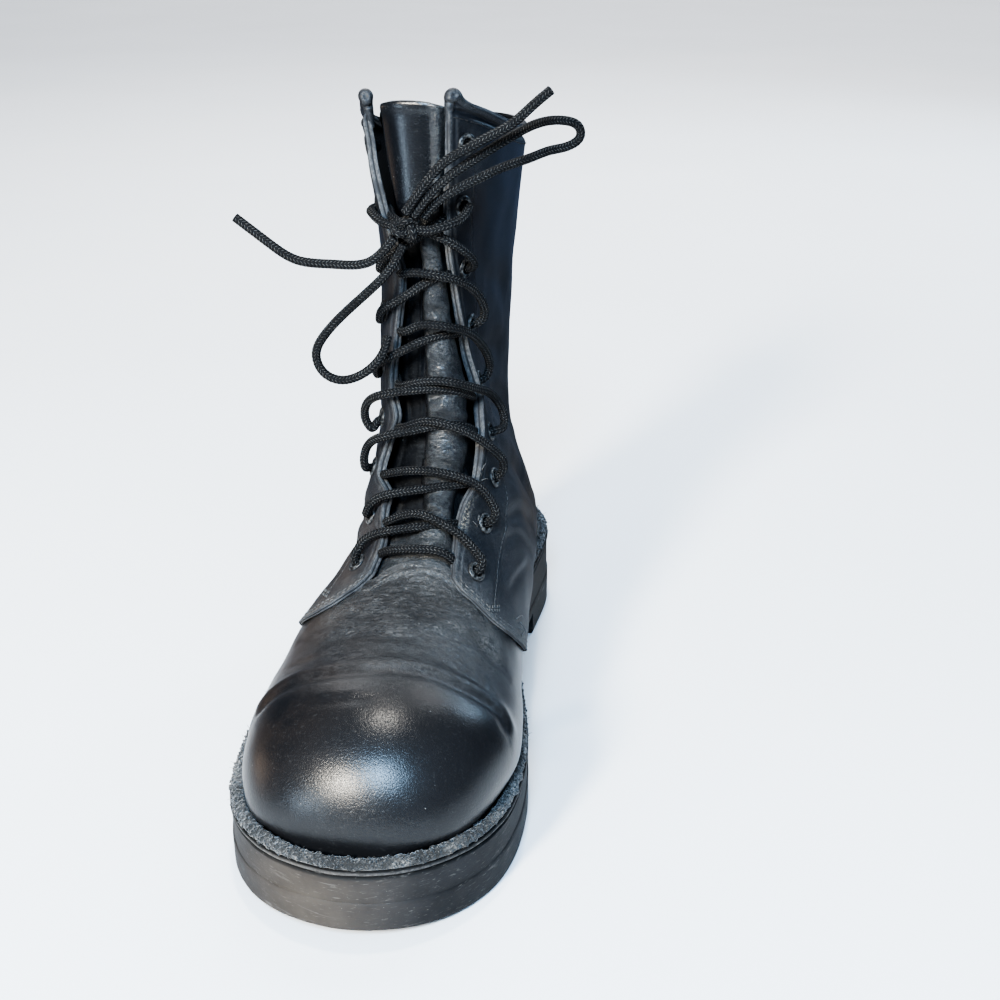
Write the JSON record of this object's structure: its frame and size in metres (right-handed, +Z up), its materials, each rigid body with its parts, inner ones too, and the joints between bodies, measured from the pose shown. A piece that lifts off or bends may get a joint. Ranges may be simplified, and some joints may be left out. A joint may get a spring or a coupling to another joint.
{
  "type": "steel toe boot",
  "caption": "Tall black leather lace-up safety boot for the right foot, with a round toe, high shaft, gusseted tongue, round lace and thick rubber sole.",
  "frame": {"origin": "on the floor under the middle of the sole", "axes": "toe towards -Y, heel towards +Y, +X towards the inner side of the foot, +Z up"},
  "size_m": [0.1339, 0.312, 0.2726],
  "materials": {
    "sole_rubber": "dusty matt black rubber, scuffed at the edge",
    "welt_felt": "frayed grey fibre strip",
    "insole_fabric": "dark woven lining",
    "black_leather": "creased black leather, satin, worn grey along its raw edges",
    "tongue_leather": "soft creased dark grey leather",
    "eyelet_enamel": "black enamel, worn at the rim",
    "lace_braid": "round braided black cord"
  },
  "bodies": {
    "root": {"outsole": "sole_rubber", "welt": "welt_felt", "insole": "insole_fabric", "upper": "black_leather", "tongue": "tongue_leather", "eyelet_inner_1": "eyelet_enamel", "eyelet_outer_1": "eyelet_enamel", "eyelet_inner_2": "eyelet_enamel", "eyelet_outer_2": "eyelet_enamel", "eyelet_inner_3": "eyelet_enamel", "eyelet_outer_3": "eyelet_enamel", "eyelet_inner_4": "eyelet_enamel", "eyelet_outer_4": "eyelet_enamel", "eyelet_inner_5": "eyelet_enamel", "eyelet_outer_5": "eyelet_enamel", "eyelet_inner_6": "eyelet_enamel", "eyelet_outer_6": "eyelet_enamel", "eyelet_inner_7": "eyelet_enamel", "eyelet_outer_7": "eyelet_enamel", "eyelet_inner_8": "eyelet_enamel", "eyelet_outer_8": "eyelet_enamel", "eyelet_inner_9": "eyelet_enamel", "eyelet_outer_9": "eyelet_enamel", "lace_bar": "lace_braid", "lace_crossing_1": "lace_braid", "lace_crossing_2": "lace_braid", "lace_crossing_3": "lace_braid", "lace_crossing_4": "lace_braid", "lace_crossing_5": "lace_braid", "lace_crossing_6": "lace_braid", "lace_crossing_7": "lace_braid", "lace_tie_inner": "lace_braid", "lace_tie_outer": "lace_braid", "lace_knot": "lace_braid", "lace_end_left": "lace_braid", "lace_loop_left": "lace_braid", "lace_loop_right": "lace_braid", "lace_end_right": "lace_braid"}
  },
  "joints": []
}
